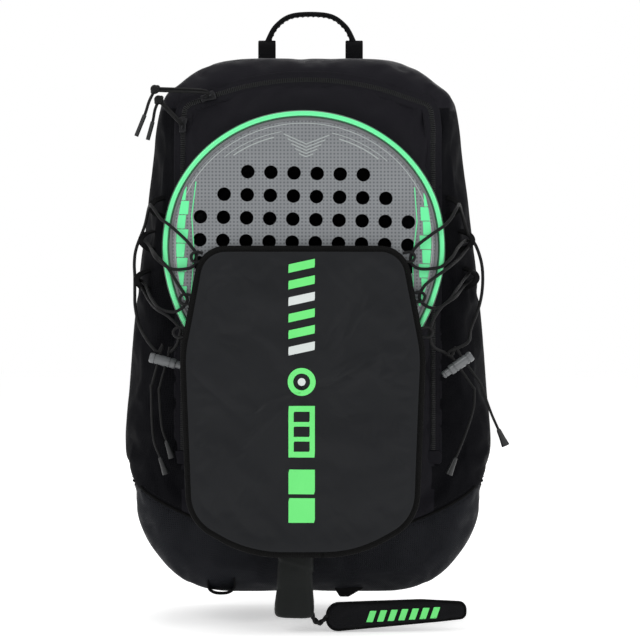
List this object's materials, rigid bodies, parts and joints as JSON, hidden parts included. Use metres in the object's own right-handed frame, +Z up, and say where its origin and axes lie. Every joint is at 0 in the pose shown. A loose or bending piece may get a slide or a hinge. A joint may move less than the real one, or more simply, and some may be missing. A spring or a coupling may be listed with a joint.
{
  "type": "racket backpack with a laced-in racket",
  "caption": "Tall black sports backpack with a stiff front holder flap, elastic side lacing and a padel racket held under the flap, grip down.",
  "frame": {"origin": "middle of the flat base under the main compartment", "axes": "+Z up, -Y towards the front where the racket is held, +X the wearer's right"},
  "size_m": [0.3428, 0.2584, 0.5675],
  "materials": {
    "coated_cloth": "coated, slight sheen",
    "side_cloth": "matt weave",
    "boot_cloth": "heavy coated weave",
    "flap_sheet": "coated sheet with a fine grain",
    "binding_tape": "ribbed textile tape",
    "mesh_padding": "air mesh over foam",
    "webbing": "flat woven webbing",
    "lining": "thin lining",
    "zip_tape": "coil zip",
    "black_metal": "black coated slider",
    "elastic_cord": "braided elastic cord",
    "black_plastic": "moulded, fine texture",
    "board": "stiffener sheet",
    "racket_rim": "mint green lacquer over carbon",
    "racket_face": "grey rough face",
    "racket_foam": "closed-cell foam, nearest in density to padded fabric",
    "grip_tape": "wrapped grip tape",
    "pad_cloth": "knitted wrist pad"
  },
  "bodies": {
    "bag": {"back_frame_sheet": "board", "back_pads": "mesh_padding", "back_panel": "side_cloth", "base_board": "board", "base_boot": "boot_cloth", "base_tabs": "webbing", "bell_ends_left": "black_plastic", "bell_ends_right": "black_plastic", "bottom_loop": "webbing", "bottom_tab": "webbing", "cord_tails_left": "elastic_cord", "cord_tails_right": "elastic_cord", "front_panel": "coated_cloth", "handle_anchors": "webbing", "holder_gusset_left": "boot_cloth", "holder_gusset_right": "boot_cloth", "lacing_cord_left": "elastic_cord", "lacing_cord_right": "elastic_cord", "ladder_locks": "black_plastic", "laptop_sleeve": "lining", "lumbar_pad": "mesh_padding", "shoulder_strap_left": "mesh_padding", "shoulder_strap_right": "mesh_padding", "side_gusset_left": "side_cloth", "side_gusset_right": "side_cloth", "side_loops": "webbing", "sternum_rails": "elastic_cord", "strap_anchor": "side_cloth", "strap_webbing": "webbing", "top_gusset": "coated_cloth", "zip_coil": "zip_tape"},
    "racket": {"racket_frame": "racket_rim", "racket_face_front": "racket_face", "racket_face_back": "racket_face", "racket_core": "racket_foam", "racket_handle_core": "racket_foam", "racket_grip": "grip_tape", "racket_grip_collar": "black_plastic", "racket_butt_cap": "black_plastic"},
    "wrist_strap": {"wrist_cord": "elastic_cord", "wrist_pad": "pad_cloth"},
    "flap": {"holder_flap": "flap_sheet", "holder_flap_binding": "binding_tape", "flap_loops": "elastic_cord"},
    "handle": {"carry_handle": "webbing"},
    "zip_left": {"zip_slider_left": "black_metal"},
    "zip_left_pull": {"zip_pull_left": "elastic_cord"},
    "zip_top": {"zip_slider_top": "black_metal"},
    "zip_top_pull": {"zip_pull_top": "elastic_cord"},
    "lock_left": {"cord_lock_left": "black_plastic"},
    "lock_left_button": {"cord_lock_button_left": "black_plastic"},
    "lock_right": {"cord_lock_right": "black_plastic"},
    "lock_right_button": {"cord_lock_button_right": "black_plastic"},
    "sternum": {"sternum_clips": "black_plastic", "sternum_webbing_left": "webbing", "sternum_webbing_right": "webbing", "sternum_buckle_socket": "black_plastic"},
    "sternum_plug": {"sternum_buckle_plug": "black_plastic"}
  },
  "joints": [
    {"name": "racket_slide", "type": "slide", "parent": "bag", "child": "racket", "axis": [0.0262, 0, 0.9997], "range_m": [0, 0.36], "deforming": ["wrist_cord", "wrist_pad"]},
    {"name": "wrist_strap_swing", "type": "hinge", "parent": "racket", "child": "wrist_strap", "pos_m": [0, -0.107, -0.0215], "axis": [0, 1, 0], "range_deg": [-8, 80]},
    {"name": "flap_tilt", "type": "hinge", "parent": "bag", "child": "flap", "pos_m": [-0.004, -0.127, 0.042], "axis": [1, 0, 0], "range_deg": [0, 12], "deforming": ["lacing_cord_left", "lacing_cord_right"]},
    {"name": "carry_handle_swing", "type": "hinge", "parent": "bag", "child": "handle", "pos_m": [0.002, 0.03, 0.5035], "axis": [1, 0, 0], "range_deg": [-70, 70]},
    {"name": "zip_left_slide", "type": "slide", "parent": "bag", "child": "zip_left", "axis": [0, 0, -1], "range_m": [0, 0.048]},
    {"name": "zip_left_pull_swing", "type": "hinge", "parent": "zip_left", "child": "zip_left_pull", "pos_m": [-0.113, -0.0766, 0.419], "axis": [0, 1, 0], "range_deg": [-35, 15]},
    {"name": "zip_top_travel", "type": "hinge", "parent": "bag", "child": "zip_top", "pos_m": [0, -0.0745, 0.197], "axis": [0, 1, 0], "range_deg": [0, 40]},
    {"name": "zip_top_pull_swing", "type": "hinge", "parent": "zip_top", "child": "zip_top_pull", "pos_m": [-0.08995, -0.0766, 0.44414], "axis": [0, 1, 0], "range_deg": [-35, 15]},
    {"name": "lock_left_slide", "type": "slide", "parent": "bag", "child": "lock_left", "axis": [-0.2588, 0, -0.9659], "range_m": [0, 0.02]},
    {"name": "lock_left_press", "type": "slide", "parent": "lock_left", "child": "lock_left_button", "axis": [-0.9659, 0, 0.2588], "range_m": [0, 0.004], "stiffness_N_per_m": 60},
    {"name": "lock_right_slide", "type": "slide", "parent": "bag", "child": "lock_right", "axis": [0.5736, 0, -0.8192], "range_m": [0, 0.02]},
    {"name": "lock_right_press", "type": "slide", "parent": "lock_right", "child": "lock_right_button", "axis": [0.8192, 0, 0.5736], "range_m": [0, 0.004], "stiffness_N_per_m": 60},
    {"name": "sternum_height", "type": "slide", "parent": "bag", "child": "sternum", "axis": [0, 0, 1], "range_m": [-0.035, 0.035], "stiffness_N_per_m": 400},
    {"name": "sternum_buckle_release", "type": "slide", "parent": "sternum", "child": "sternum_plug", "axis": [1, 0, 0], "range_m": [0, 0.026]}
  ]
}
